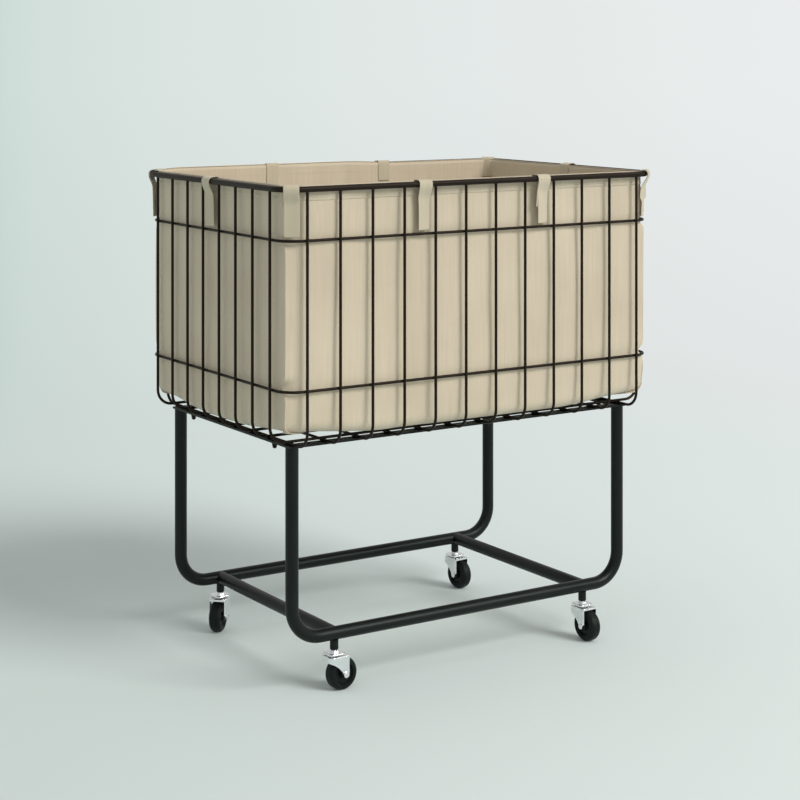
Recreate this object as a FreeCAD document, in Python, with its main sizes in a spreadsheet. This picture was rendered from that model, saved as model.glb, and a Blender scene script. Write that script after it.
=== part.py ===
import FreeCAD, Part
import math
import os
import Sketcher

# Rolling laundry cart: a wire basket with a canvas liner, bolted to a tube stand on four swivel casters.
# Frame: +X along the long side, +Y to the back, +Z up, origin on the floor under the middle of the basket.
# All lengths are millimetres and come from the spreadsheet below.

DIMENSIONS = {
    # wire basket, measured to wire centres
    "rim_height": 765,
    "rim_rod": 9,
    "basket_length": 704,
    "basket_width": 467,
    "rim_corner": 36,
    "wire": 4.5,
    "weld_gap": 0.05,
    "upper_ring_drop": 76.5,
    "lower_ring_drop": 299,
    "long_pitch": 57,
    "long_count": 12,
    "cross_pitch": 54,
    "cross_count": 8,
    "wire_bend": 25,
    # stand of bent tube with a flat bar frame on top
    "tube": 20,
    "tube_wall": 1.5,
    "leg_spacing_x": 624,
    "leg_spacing_y": 370,
    "rail_height": 87,
    "tube_bend": 48,
    "crossbar_spacing": 477,
    "bar_width": 20,
    "bar_thickness": 3,
    "bar_top": 379.5,
    # studs under the basket and their acorn nuts
    "stud": 5,
    "stud_spacing_y": 270,
    "stud_length": 9,
    "nut_flats": 8,
    "nut_hex_height": 4.5,
    "nut_dome": 7,
    "nut_height": 10,
    "static_gap": 0.05,
    # caster sockets, stems and raceways
    "socket": 13,
    "socket_bottom": 62,
    "stem": 8,
    "stem_top": 76,
    "collar_flats": 12,
    "collar_top": 61,
    "cap_side": 27.5,
    "cap_corner": 6.5,
    "cap_top": 58.5,
    "cap_height": 2.5,
    "sheet": 1.5,
    "kingpin": 7,
    "rivet_head": 10,
    "rivet_bottom": 50,
    "rivet_top": 51.9,
    "ball": 2.9,
    "ball_circle": 16.4,
    "ball_count": 12,
    "running_gap": 0.06,
    # caster fork
    "crown_front": 16,
    "fork_width": 29,
    "fork_sheet": 1.8,
    "crown_corner": 8,
    "heel_corner": 3,
    "crown_top": 54,
    "crown_height": 8.5,
    "rear_lip_height": 3,
    "trail": 12.8,
    "fork_tip": 4.2,
    "heel": 20,
    "heel_rise": 4,
    "leg_sweep": 44,
    # caster wheel and axle
    "wheel": 50,
    "tread_width": 20,
    "tread_round": 6.5,
    "hub_length": 24,
    "hub_boss": 13,
    "hub_web": 12,
    "axle": 6,
    "axle_head": 9.5,
    "axle_head_height": 1.8,
    "axle_nut_flats": 8,
    "axle_nut_height": 3.5,
    # canvas liner
    "liner_gap": 9,
    "liner_corner": 34,
    "liner_top": 771.5,
    "liner_bottom": 391,
    "liner_edge": 18,
    "canvas": 1.5,
    "hem_depth": 20,
    "hem_thickness": 1.2,
    "strap_width": 24,
    "strap_thickness": 1,
    "strap_inside": 6.6,
    "corner_strap_inside": 8.6,
    "strap_outside": 5.2,
    "strap_tail": 71,
    "strap_inner_leg": 17,
    "strap_spacing": 232,
}

# Each caster's corner of the stand, as signs along X and Y, and the way its wheel trails, in degrees
# from +X.
CASTERS = {
    "front_left": (-1, -1, 4.0),
    "front_right": (1, -1, -88.0),
    "rear_left": (-1, 1, 225.0),
    "rear_right": (1, 1, -85.0),
}

Vector = FreeCAD.Vector
Constraint = Sketcher.Constraint
ORIGIN = -1
H_AXIS = -1
V_AXIS = -2
START = 1
END = 2
CENTRE = 3
FAR = 400


class Size:
    """A length that carries both its value and the spreadsheet expression it comes from."""

    def __init__(self, value, text=None):
        self.value = float(value)
        self.text = text or repr(self.value)

    def __add__(self, other):
        other = size(other)
        return Size(self.value + other.value, f"({self.text} + {other.text})")

    def __sub__(self, other):
        return self + -size(other)

    def __rsub__(self, other):
        return size(other) - self

    def __mul__(self, factor):
        factor = size(factor)
        return Size(self.value * factor.value, f"({self.text} * {factor.text})")

    def __truediv__(self, divisor):
        return Size(self.value / divisor, f"({self.text} / {divisor})")

    def __neg__(self):
        return Size(-self.value, f"(-1 * {self.text})")

    __radd__ = __add__
    __rmul__ = __mul__


def size(number):
    return number if isinstance(number, Size) else Size(number)


class Sheet:
    """The spreadsheet of driving dimensions, read as attributes: sheet.wheel is a Size."""

    def __init__(self, doc):
        cells = doc.addObject("Spreadsheet::Sheet", "Dimensions")
        for row, (alias, value) in enumerate(DIMENSIONS.items(), start=1):
            cells.set(f"A{row}", alias)
            cells.set(f"B{row}", str(value))
            cells.setAlias(f"B{row}", alias)
        doc.recompute()
        self.cells = cells

    def __getattr__(self, alias):
        return Size(self.cells.get(alias), f"Dimensions.{alias}")


# ---------------------------------------------------------------- sketches


def drive(sketch, constraint, length):
    """Adds a constraint whose value follows the sheet."""
    index = sketch.addConstraint(constraint)
    sketch.setExpression(f"Constraints[{index}]", length.text)


def pin(sketch, geometry, point, x=None, y=None):
    """Holds a point of the sketch at x, y, or at only one of them."""
    for along, kind, axis in ((x, "DistanceX", V_AXIS), (y, "DistanceY", H_AXIS)):
        if along is None:
            continue
        along = size(along)
        if abs(along.value) < 1e-9:
            sketch.addConstraint(Constraint("PointOnObject", geometry, point, axis))
        elif along.value > 0:
            drive(sketch, Constraint(kind, ORIGIN, START, geometry, point, along.value), along)
        else:
            drive(sketch, Constraint(kind, geometry, point, ORIGIN, START, -along.value), -along)


def circle(sketch, x, y, radius):
    centre = Vector(size(x).value, size(y).value, 0)
    index = sketch.addGeometry(Part.Circle(centre, Vector(0, 0, 1), radius.value))
    drive(sketch, Constraint("Radius", index, radius.value), radius)
    pin(sketch, index, CENTRE, x, y)


def arc_between(start, end, radius):
    """The short arc from start to end, anticlockwise for a positive radius, else clockwise."""
    chord = end - start
    reach = math.sqrt(max(radius ** 2 - chord.Length ** 2 / 4, 0))
    left = Vector(-chord.y, chord.x, 0).normalize()
    centre = (start + end) / 2 + left * math.copysign(reach, radius)
    first, last = (start, end) if radius > 0 else (end, start)
    angles = [math.atan2(p.y - centre.y, p.x - centre.x) for p in (first, last)]
    return Part.ArcOfCircle(Part.Circle(centre, Vector(0, 0, 1), abs(radius)), *angles)


def hold_arc(sketch, index, start, end, radius):
    """Fixes the bulge of an arc whose ends are held: a half circle by its centre, others by radius."""
    across = size(start[0]).value - size(end[0]).value
    up = size(start[1]).value - size(end[1]).value
    if math.hypot(across, up) / 2 < radius.value - 1e-6:
        drive(sketch, Constraint("Radius", index, radius.value), radius)
    elif abs(across) < 1e-6:
        pin(sketch, index, CENTRE, x=start[0])
    else:
        pin(sketch, index, CENTRE, y=start[1])


def draw(sketch, vertices, arcs=None, closed=True):
    """Draws lines and arcs through vertices, each vertex held by the sheet.
    arcs gives a segment's radius by its number: positive turns anticlockwise, negative clockwise."""
    arcs = arcs or {}
    points = [Vector(size(x).value, size(y).value, 0) for x, y in vertices]
    segments = len(points) if closed else len(points) - 1
    ends = []
    for number in range(segments):
        start = points[number]
        end = points[(number + 1) % len(points)]
        if number in arcs:
            radius = size(arcs[number])
            index = sketch.addGeometry(arc_between(start, end, radius.value))
            ends.append((index, START, END) if radius.value > 0 else (index, END, START))
        else:
            index = sketch.addGeometry(Part.LineSegment(start, end))
            ends.append((index, START, END))
    for number, (index, first, last) in enumerate(ends):
        pin(sketch, index, first, *vertices[number])
        following = (number + 1) % len(points)
        if following < segments:
            other, start, _ = ends[following]
            sketch.addConstraint(Constraint("Coincident", index, last, other, start))
        else:
            pin(sketch, index, last, *vertices[following])
        if number in arcs:
            radius = size(arcs[number])
            radius = radius if radius.value > 0 else -radius
            hold_arc(sketch, index, vertices[number], vertices[following], radius)


def rounded(corners, radius, closed=True):
    """Vertices and arcs, for draw, of straight runs along the axes joined by bends of one radius."""
    corners = [(size(x), size(y)) for x, y in corners]
    vertices = []
    arcs = {}
    for number, corner in enumerate(corners):
        if not closed and number in (0, len(corners) - 1):
            vertices.append(corner)
            continue
        before = corners[number - 1]
        after = corners[(number + 1) % len(corners)]
        steps = [
            [(other[k].value > corner[k].value) - (other[k].value < corner[k].value) for k in (0, 1)]
            for other in (before, after)
        ]
        turn = steps[1][0] * steps[0][1] - steps[1][1] * steps[0][0]
        arcs[len(vertices)] = radius * turn
        for step in steps:
            vertices.append(tuple(corner[k] + radius * step[k] if step[k] else corner[k] for k in (0, 1)))
    return vertices, arcs


def rectangle(half_x, half_y):
    return [(-half_x, -half_y), (half_x, -half_y), (half_x, half_y), (-half_x, half_y)]


def hexagon(x, y, flats):
    """Six corners of a hexagon with two flats parallel to the sketch's X axis."""
    reach = flats / 2 * (2 / math.sqrt(3))
    corners = [(math.cos(math.radians(60 * k)), math.sin(math.radians(60 * k))) for k in range(6)]
    return [(x + reach * across, y + reach * up) for across, up in corners]


# ---------------------------------------------------------------- features


def new_body(doc, label):
    body = doc.addObject("PartDesign::Body", "Body_" + label)
    body.Label = label
    return body


def origin_feature(body, role):
    return next(feature for feature in body.Origin.OriginFeatures if feature.Role == role)


def new_sketch(body, role, across=0, up=0, out=0, turn=0):
    """A sketch on one of the body's own planes, shifted across, up and out of it, and turned about
    its up axis."""
    sketch = body.newObject("Sketcher::SketchObject", "Sketch")
    sketch.AttachmentSupport = (origin_feature(body, role), [""])
    sketch.MapMode = "FlatFace"
    shift = [size(across), size(up), size(out)]
    base = Vector(*(length.value for length in shift))
    sketch.AttachmentOffset = FreeCAD.Placement(base, FreeCAD.Rotation(Vector(0, 1, 0), turn))
    for axis, length in zip("xyz", shift):
        sketch.setExpression(f"AttachmentOffset.Base.{axis}", length.text)
    return sketch


def extrude(body, kind, sketch, length, symmetric=False, reverse=False):
    """A Pad or Pocket of sketch, length long."""
    feature = body.newObject("PartDesign::" + kind, kind)
    feature.Profile = (sketch, [""])
    feature.setExpression("Length", size(length).text)
    feature.SideType = "Symmetric" if symmetric else "One side"
    feature.Reversed = reverse
    body.Tip = feature
    return feature


def revolve(body, sketch, axis):
    feature = body.newObject("PartDesign::Revolution", "Revolution")
    feature.Profile = (sketch, [""])
    feature.ReferenceAxis = (sketch, [axis])
    feature.Angle = 360
    body.Tip = feature
    return feature


def pipe(body, section, path):
    feature = body.newObject("PartDesign::AdditivePipe", "Pipe")
    feature.Profile = section
    feature.Spine = (path, [])
    body.Tip = feature
    return feature


def dress(body, kind, property_name, radius, chosen):
    """A Fillet or Chamfer on the edges of the body so far that chosen accepts."""
    body.Document.recompute()
    base = body.Tip
    names = [f"Edge{number}" for number, edge in enumerate(base.Shape.Edges, start=1) if chosen(edge)]
    feature = body.newObject("PartDesign::" + kind, kind)
    feature.Base = (base, names)
    feature.setExpression(property_name, size(radius).text)
    body.Tip = feature
    return feature


def lies_at(height):
    """Chooses edges that run level at one height."""
    return lambda edge: edge.BoundBox.ZLength < 0.01 and abs(edge.BoundBox.ZMin - height.value) < 0.01


def place(body, x, y, turn=0):
    body.Placement = FreeCAD.Placement(Vector(0, 0, 0), FreeCAD.Rotation(Vector(0, 0, 1), turn))
    body.setExpression("Placement.Base.x", size(x).text)
    body.setExpression("Placement.Base.y", size(y).text)


# ---------------------------------------------------------------- stand


def leg_tube(doc, d, label, side):
    """One bent tube: down a leg, along the base rail and up the other leg."""
    body = new_body(doc, label)
    half = d.leg_spacing_x / 2
    top = d.bar_top - d.bar_thickness
    path = new_sketch(body, "XZ_Plane")
    corners = [(-half, top), (-half, d.rail_height), (half, d.rail_height), (half, top)]
    draw(path, *rounded(corners, d.tube_bend, closed=False), closed=False)
    section = new_sketch(body, "XY_Plane", out=top)
    circle(section, -half, 0, d.tube / 2)
    circle(section, -half, 0, d.tube / 2 - d.tube_wall)
    pipe(body, section, path)
    place(body, 0, d.leg_spacing_y / 2 * side)
    return body


def cylinder(doc, radius, length, base, axis, start):
    """A Part cylinder along axis, from start."""
    shape = doc.addObject("Part::Cylinder", "Cylinder")
    shape.setExpression("Radius", radius.text)
    shape.setExpression("Height", length.text)
    shape.Placement = FreeCAD.Placement(Vector(0, 0, 0), FreeCAD.Rotation(Vector(0, 0, 1), axis))
    for name, length_along in zip("xyz", base):
        shape.setExpression(f"Placement.Base.{name}", (size(length_along) + size(start[name])).text)
    return shape


def base_crossbar(doc, d, label, side):
    """A tube between the base rails, its ends coped round them."""
    x = d.crossbar_spacing / 2 * side
    length = d.leg_spacing_y - d.tube_wall * 2
    along_y = Vector(0, 1, 0)
    along_x = Vector(1, 0, 0)
    base = (x, 0, d.rail_height)
    start = {"x": 0, "y": -length / 2, "z": 0}
    outside = cylinder(doc, d.tube / 2, length, base, along_y, start)
    bore = cylinder(doc, d.tube / 2 - d.tube_wall, length, base, along_y, start)
    tube = doc.addObject("Part::Cut", "Tube")
    tube.Base = outside
    tube.Tool = bore
    rails = doc.addObject("Part::MultiFuse", "Rails")
    starts = [{"x": -d.tube, "y": d.leg_spacing_y / 2 * end, "z": 0} for end in (-1, 1)]
    rails.Shapes = [cylinder(doc, d.tube / 2, d.tube * 2, base, along_x, place) for place in starts]
    coped = doc.addObject("Part::Cut", "Crossbar")
    coped.Base = tube
    coped.Tool = rails
    coped.Label = label
    return coped


def top_bar(doc, d, label, half_x, half_y, holes=()):
    """A flat bar lying on the leg tops."""
    body = new_body(doc, label)
    sketch = new_sketch(body, "XY_Plane", out=d.bar_top - d.bar_thickness)
    draw(sketch, rectangle(half_x, half_y))
    for x, y in holes:
        circle(sketch, x, y, d.stud / 2 + d.static_gap * 5)
    extrude(body, "Pad", sketch, d.bar_thickness)
    return body


def top_bars(doc, d):
    """Front and rear bars run the full length; the side bars butt between them and take the studs."""
    half_x = (d.leg_spacing_x + d.bar_width) / 2
    side_half_y = (d.leg_spacing_y - d.bar_width) / 2
    offset = stud_x(d) - d.leg_spacing_x / 2
    bars = []
    for label, side in (("front_top_bar", -1), ("rear_top_bar", 1)):
        bar = top_bar(doc, d, label, half_x, d.bar_width / 2)
        place(bar, 0, d.leg_spacing_y / 2 * side)
        bars.append(bar)
    for label, side in (("left_top_bar", -1), ("right_top_bar", 1)):
        holes = [(offset * side, d.stud_spacing_y / 2 * end) for end in (-1, 1)]
        bar = top_bar(doc, d, label, d.bar_width / 2, side_half_y, holes)
        place(bar, d.leg_spacing_x / 2 * side, 0)
        bars.append(bar)
    return bars


def corner_points(half_x, half_y):
    return [(half_x * side, half_y * end) for side in (-1, 1) for end in (-1, 1)]


def caster_sockets(doc, d):
    """Threaded sockets welded under the base rails where the crossbars meet them."""
    body = new_body(doc, "caster_sockets")
    half_x = d.crossbar_spacing / 2
    half_y = d.leg_spacing_y / 2
    sketch = new_sketch(body, "XY_Plane", out=d.socket_bottom)
    for x, y in corner_points(half_x, half_y):
        circle(sketch, x, y, d.socket / 2)
        circle(sketch, x, y, d.stem / 2 + d.static_gap)
    extrude(body, "Pad", sketch, d.rail_height - d.socket_bottom)
    outer = d.socket.value / 2 - 0.5

    def outer_bottom_edge(edge):
        return lies_at(d.socket_bottom)(edge) and edge.BoundBox.XLength > outer * 2

    dress(body, "Chamfer", "Size", d.sheet, outer_bottom_edge)
    for role, half in (("YZ_Plane", half_y), ("XZ_Plane", half_x)):
        cope = new_sketch(body, role)
        for side in (-1, 1):
            circle(cope, half * side, d.rail_height, d.tube / 2)
        extrude(body, "Pocket", cope, FAR * 2, symmetric=True)
    return body


# ---------------------------------------------------------------- wire basket


def wire_loop(doc, d, label, half_x, half_y, corner, rod, height):
    """A closed hoop of round rod with rounded corners."""
    body = new_body(doc, label)
    path = new_sketch(body, "XY_Plane", out=height)
    draw(path, *rounded(rectangle(half_x, half_y), corner))
    section = new_sketch(body, "XZ_Plane")
    circle(section, half_x, height, rod / 2)
    pipe(body, section, path)
    return body


def basket_hoops(doc, d):
    """The heavy rim, and two thin rings welded inside the upright wires."""
    half_x = d.basket_length / 2
    half_y = d.basket_width / 2
    inset = d.wire + d.weld_gap
    hoops = [wire_loop(doc, d, "basket_rim", half_x, half_y, d.rim_corner, d.rim_rod, d.rim_height)]
    ring_size = (half_x - inset, half_y - inset, d.rim_corner - inset, d.wire)
    for label, drop in (("upper_ring", d.upper_ring_drop), ("lower_ring", d.lower_ring_drop)):
        hoops.append(wire_loop(doc, d, label, *ring_size, d.rim_height - drop))
    return hoops


def wire_group(doc, d, label, plane, direction, half_span, low, pitch, count):
    """Equal U-shaped wires that hang from the rim, run under the basket and climb the opposite side."""
    body = new_body(doc, label)
    top = d.rim_height - d.rim_rod / 2
    first = -(count - 1) * pitch / 2
    out = first if plane == "YZ_Plane" else -first
    path = new_sketch(body, plane, out=out)
    corners = [(-half_span, top), (-half_span, low), (half_span, low), (half_span, top)]
    draw(path, *rounded(corners, d.wire_bend, closed=False), closed=False)
    section = new_sketch(body, "XY_Plane", out=top)
    foot = (first, -half_span) if plane == "YZ_Plane" else (-half_span, first)
    circle(section, *foot, d.wire / 2)
    wire = pipe(body, section, path)
    pattern = body.newObject("PartDesign::LinearPattern", "Pattern")
    pattern.Originals = [wire]
    pattern.Direction = (origin_feature(body, direction), [""])
    pattern.setExpression("Length", ((count - 1) * pitch).text)
    pattern.setExpression("Occurrences", count.text)
    body.Tip = pattern
    return body


def basket_wires(doc, d):
    """Front-to-back wires lie on the stand's side bars, and the side-to-side wires lie on top of them."""
    lower = d.bar_top + d.wire / 2
    upper = lower + d.wire
    return [
        wire_group(doc, d, "front_to_back_wires", "YZ_Plane", "X_Axis",
                   d.basket_width / 2, lower, d.long_pitch, d.long_count),
        wire_group(doc, d, "side_to_side_wires", "XZ_Plane", "Y_Axis",
                   d.basket_length / 2, upper, d.cross_pitch, d.cross_count),
    ]


def stud_x(d):
    """The studs stand under the outermost front-to-back wires."""
    return d.long_pitch * (d.long_count - 1) / 2


def basket_studs(doc, d):
    """Threaded studs welded under the basket, passing through the stand's side bars."""
    body = new_body(doc, "basket_studs")
    sketch = new_sketch(body, "XY_Plane", out=d.bar_top - d.stud_length)
    for x, y in corner_points(stud_x(d), d.stud_spacing_y / 2):
        circle(sketch, x, y, d.stud / 2)
    extrude(body, "Pad", sketch, d.stud_length)
    return body


def acorn_nuts(doc, d):
    """Domed nuts that pull the basket down on to the stand."""
    body = new_body(doc, "acorn_nuts")
    seat = d.bar_top - d.bar_thickness
    places = corner_points(stud_x(d), d.stud_spacing_y / 2)
    hexes = new_sketch(body, "XY_Plane", out=seat - d.nut_hex_height)
    for x, y in places:
        draw(hexes, hexagon(x, y, d.nut_flats))
    extrude(body, "Pad", hexes, d.nut_hex_height)
    domes = new_sketch(body, "XY_Plane", out=seat - d.nut_height)
    for x, y in places:
        circle(domes, x, y, d.nut_dome / 2)
    extrude(body, "Pad", domes, d.nut_height)
    dress(body, "Fillet", "Radius", d.nut_dome * 0.45, lies_at(seat - d.nut_height))
    threads = new_sketch(body, "XY_Plane", out=seat)
    for x, y in places:
        circle(threads, x, y, d.stud / 2 + d.static_gap)
    extrude(body, "Pocket", threads, d.stud_length - d.bar_thickness + d.static_gap)
    return body


# ---------------------------------------------------------------- casters


def caster_stem(doc, d, label):
    """Threaded stem with a hex collar; its lower end is the kingpin, riveted over under the fork."""
    body = new_body(doc, label)
    head = d.rivet_head / 2
    pin_radius = d.kingpin / 2
    shank = d.stem / 2
    outline = [
        (0, d.rivet_bottom), (head - 1, d.rivet_bottom), (head, d.rivet_bottom + 1), (head, d.rivet_top),
        (pin_radius, d.rivet_top), (pin_radius, d.cap_top), (shank, d.cap_top), (shank, d.stem_top - 1),
        (shank - 1, d.stem_top), (0, d.stem_top),
    ]
    profile = new_sketch(body, "XZ_Plane")
    draw(profile, outline)
    revolve(body, profile, "V_Axis")
    collar = new_sketch(body, "XY_Plane", out=d.cap_top)
    draw(collar, hexagon(size(0), size(0), d.collar_flats))
    extrude(body, "Pad", collar, d.collar_top - d.cap_top)
    return body


def race_cap(doc, d, label):
    """Pressed square cap that holds the ball race down; it stays still while the fork turns."""
    body = new_body(doc, label)
    half = d.cap_side / 2
    bottom = d.cap_top - d.cap_height
    block = new_sketch(body, "XY_Plane", out=bottom)
    draw(block, *rounded(rectangle(half, half), d.cap_corner))
    extrude(body, "Pad", block, d.cap_height)
    dress(body, "Fillet", "Radius", d.sheet * 0.8, lies_at(d.cap_top))
    hollow = new_sketch(body, "XY_Plane", out=bottom)
    inner = half - d.sheet
    draw(hollow, *rounded(rectangle(inner, inner), d.cap_corner - d.sheet))
    extrude(body, "Pocket", hollow, d.cap_height - d.sheet, reverse=True)
    bore = new_sketch(body, "XY_Plane", out=d.cap_top)
    circle(bore, 0, 0, d.kingpin / 2)
    extrude(body, "Pocket", bore, d.cap_height)
    return body


def fork_plan(front, heel, half_width, front_corner, heel_corner):
    """Plan of the fork seen from above, rounder at the front than at the heel."""
    vertices = [
        (front + front_corner, -half_width), (heel - heel_corner, -half_width),
        (heel, heel_corner - half_width), (heel, half_width - heel_corner),
        (heel - heel_corner, half_width), (front + front_corner, half_width),
        (front, half_width - front_corner), (front, front_corner - half_width),
    ]
    return vertices, {1: heel_corner, 3: heel_corner, 5: front_corner, 7: front_corner}


def fork(doc, d, label):
    """Pressed fork: a crown with a lip all round, and two legs that narrow to a rounded tip at the axle."""
    body = new_body(doc, label)
    axle_height = d.wheel / 2
    crown_bottom = d.crown_top - d.crown_height
    inner_width = d.fork_width - d.fork_sheet * 2
    beyond = d.trail * 3
    block = new_sketch(body, "XY_Plane", out=d.crown_top - d.wheel)
    draw(block, *fork_plan(-d.crown_front, d.heel, d.fork_width / 2, d.crown_corner, d.heel_corner))
    extrude(body, "Pad", block, d.wheel)
    dress(body, "Fillet", "Radius", d.fork_sheet * 0.7, lies_at(d.crown_top))
    below = new_sketch(body, "XZ_Plane")
    heel_bottom = axle_height + d.heel_rise
    outline = [
        (-beyond, 0), (beyond, 0), (beyond, heel_bottom), (d.heel, heel_bottom),
        (d.trail + d.fork_tip, axle_height), (d.trail - d.fork_tip, axle_height),
        (-d.crown_front, crown_bottom), (-beyond, crown_bottom),
    ]
    draw(below, outline, {4: -d.fork_tip, 5: d.leg_sweep})
    extrude(body, "Pocket", below, d.fork_width * 2, symmetric=True)
    hollow = new_sketch(body, "XY_Plane", out=d.crown_top - d.fork_sheet)
    front = d.fork_sheet - d.crown_front
    heel = d.heel - d.fork_sheet
    draw(hollow, *fork_plan(front, heel, inner_width / 2, d.crown_corner - d.fork_sheet, d.fork_sheet))
    extrude(body, "Pocket", hollow, d.wheel)
    window = new_sketch(body, "XZ_Plane")
    lip_bottom = d.crown_top - d.rear_lip_height
    draw(window, [(0, 0), (beyond, 0), (beyond, lip_bottom), (0, lip_bottom)])
    extrude(body, "Pocket", window, inner_width, symmetric=True)
    kingpin_bore = new_sketch(body, "XY_Plane", out=d.crown_top)
    circle(kingpin_bore, 0, 0, d.kingpin / 2 + d.running_gap)
    extrude(body, "Pocket", kingpin_bore, d.crown_height)
    axle_bore = new_sketch(body, "XZ_Plane")
    circle(axle_bore, d.trail, axle_height, d.axle / 2 + d.static_gap)
    extrude(body, "Pocket", axle_bore, d.fork_width * 2, symmetric=True)
    return body


def race_balls(doc, d, label):
    """The ring of balls between the cap and the crown, one sphere swept by a polar pattern."""
    body = new_body(doc, label)
    radius = d.ball / 2
    gap_top = d.cap_top - d.sheet
    height = (gap_top + d.crown_top) / 2
    sketch = new_sketch(body, "XZ_Plane", across=d.ball_circle / 2, up=height)
    draw(sketch, [(0, -radius), (0, radius)], {0: radius})
    ball = revolve(body, sketch, "V_Axis")
    pattern = body.newObject("PartDesign::PolarPattern", "Pattern")
    pattern.Originals = [ball]
    pattern.Axis = (origin_feature(body, "Z_Axis"), [""])
    pattern.Angle = 360
    pattern.setExpression("Occurrences", d.ball_count.text)
    body.Tip = pattern
    return body


def axle_sketch(body, d):
    """A sketch whose X axis is the axle line and whose Y axis points up from it."""
    return new_sketch(body, "YZ_Plane", up=d.wheel / 2, out=d.trail)


def axle_bolt(doc, d, label):
    """Dome-headed bolt through both fork legs and the hub."""
    body = new_body(doc, label)
    face = d.fork_width / 2
    head = d.axle_head / 2
    shank = d.axle / 2
    tail = face + d.axle_nut_height + 1
    outline = [(-face - d.axle_head_height, 0), (tail, 0), (tail, shank), (-face, shank), (-face, head),
               (-face - 0.8, head), (-face - d.axle_head_height, 1)]
    sketch = axle_sketch(body, d)
    draw(sketch, outline, {5: d.axle_head * 0.8})
    revolve(body, sketch, "H_Axis")
    return body


def axle_nut(doc, d, label):
    body = new_body(doc, label)
    sketch = new_sketch(body, "XZ_Plane", out=-d.fork_width / 2)
    draw(sketch, hexagon(d.trail, d.wheel / 2, d.axle_nut_flats))
    circle(sketch, d.trail, d.wheel / 2, d.axle / 2 + d.static_gap)
    extrude(body, "Pad", sketch, d.axle_nut_height, reverse=True)
    return body


def tyre_inner(d):
    return d.wheel / 2 - d.tread_round


def wheel_hub(doc, d, label):
    """Moulded hub: a boss that turns on the axle bolt, a web and the rim that carries the tyre."""
    body = new_body(doc, label)
    bore = d.axle / 2 + d.running_gap
    end = d.hub_length / 2
    boss = d.hub_boss / 2
    web = d.hub_web / 2
    rim = tyre_inner(d)
    lip = d.tread_width / 2 - 0.6
    side = [
        (end, bore), (end, boss - 1), (end - 1, boss), (web, boss + 1),
        (web, rim - 4), (lip, rim - 2), (lip, rim),
    ]
    mirrored = [(-across, up) for across, up in reversed(side)]
    sketch = axle_sketch(body, d)
    draw(sketch, side + mirrored)
    revolve(body, sketch, "H_Axis")
    return body


def tyre(doc, d, label):
    """Solid tyre with fully rounded shoulders."""
    body = new_body(doc, label)
    half = d.tread_width / 2
    crown = half - d.tread_round
    inner = tyre_inner(d)
    top = d.wheel / 2
    sketch = axle_sketch(body, d)
    outline = [(-half, inner), (half, inner), (crown, top), (-crown, top)]
    draw(sketch, outline, {1: d.tread_round, 3: d.tread_round})
    revolve(body, sketch, "H_Axis")
    return body


CASTER_PIECES = {
    "caster_stem": (caster_stem, False),
    "race_cap": (race_cap, False),
    "fork": (fork, True),
    "race_balls": (race_balls, True),
    "axle_bolt": (axle_bolt, True),
    "axle_nut": (axle_nut, True),
    "wheel_hub": (wheel_hub, True),
    "tyre": (tyre, True),
}


def casters(doc, d):
    """Four casters; the pieces that swivel are turned to where each wheel trails."""
    bodies = []
    for corner, (side, end, trailing) in CASTERS.items():
        for name, (make, swivels) in CASTER_PIECES.items():
            body = make(doc, d, f"{name}_{corner}")
            x = d.crossbar_spacing / 2 * side
            y = d.leg_spacing_y / 2 * end
            place(body, x, y, trailing if swivels else 0)
            bodies.append(body)
    return bodies


# ---------------------------------------------------------------- canvas liner


def liner_bag(doc, d):
    """Open-topped canvas bag with soft bottom edges, just inside the wires."""
    body = new_body(doc, "liner_bag")
    half_x = d.basket_length / 2 - d.liner_gap
    half_y = d.basket_width / 2 - d.liner_gap
    outside = new_sketch(body, "XY_Plane", out=d.liner_bottom)
    draw(outside, *rounded(rectangle(half_x, half_y), d.liner_corner))
    extrude(body, "Pad", outside, d.liner_top - d.liner_bottom)
    floor = d.liner_bottom + d.canvas
    inside = new_sketch(body, "XY_Plane", out=d.liner_top)
    draw(inside, *rounded(rectangle(half_x - d.canvas, half_y - d.canvas), d.liner_corner - d.canvas))
    extrude(body, "Pocket", inside, d.liner_top - floor)
    dress(body, "Fillet", "Radius", d.liner_edge - d.canvas, lies_at(floor))
    dress(body, "Fillet", "Radius", d.liner_edge, lies_at(d.liner_bottom))
    return body


def liner_hem(doc, d):
    """The folded hem stitched round the outside of the bag's mouth."""
    body = new_body(doc, "liner_hem")
    half_x = d.basket_length / 2 - d.liner_gap
    half_y = d.basket_width / 2 - d.liner_gap
    thick = d.hem_thickness
    band = new_sketch(body, "XY_Plane", out=d.liner_top - d.hem_depth)
    draw(band, *rounded(rectangle(half_x, half_y), d.liner_corner))
    draw(band, *rounded(rectangle(half_x + thick, half_y + thick), d.liner_corner + thick))
    extrude(body, "Pad", band, d.hem_depth)
    return body


def strap_outline(sketch, d, rim, inside):
    """Side view of a strap that climbs inside the rim, passes over it and hangs down outside. rim is
    the rim rod's place across the sketch, and inside is the clear room from it to the inner leg."""
    sign = 1 if rim.value > 0 else -1
    thick = d.strap_thickness
    radius = (inside + d.strap_outside) / 2
    low_inside = d.rim_height - d.strap_inner_leg
    low_outside = d.rim_height - d.strap_tail
    legs = [
        (-inside - thick, low_inside), (-inside, low_inside), (-inside, d.rim_height),
        (d.strap_outside, d.rim_height), (d.strap_outside, low_outside),
        (d.strap_outside + thick, low_outside), (d.strap_outside + thick, d.rim_height),
        (-inside - thick, d.rim_height),
    ]
    vertices = [(rim + across * sign, up) for across, up in legs]
    draw(sketch, vertices, {2: radius * -sign, 6: (radius + thick) * sign})


def short_side_straps(doc, d):
    body = new_body(doc, "short_side_straps")
    sketch = new_sketch(body, "XZ_Plane")
    for side in (-1, 1):
        strap_outline(sketch, d, d.basket_length / 2 * side, d.strap_inside)
    extrude(body, "Pad", sketch, d.strap_width, symmetric=True)
    return body


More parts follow.
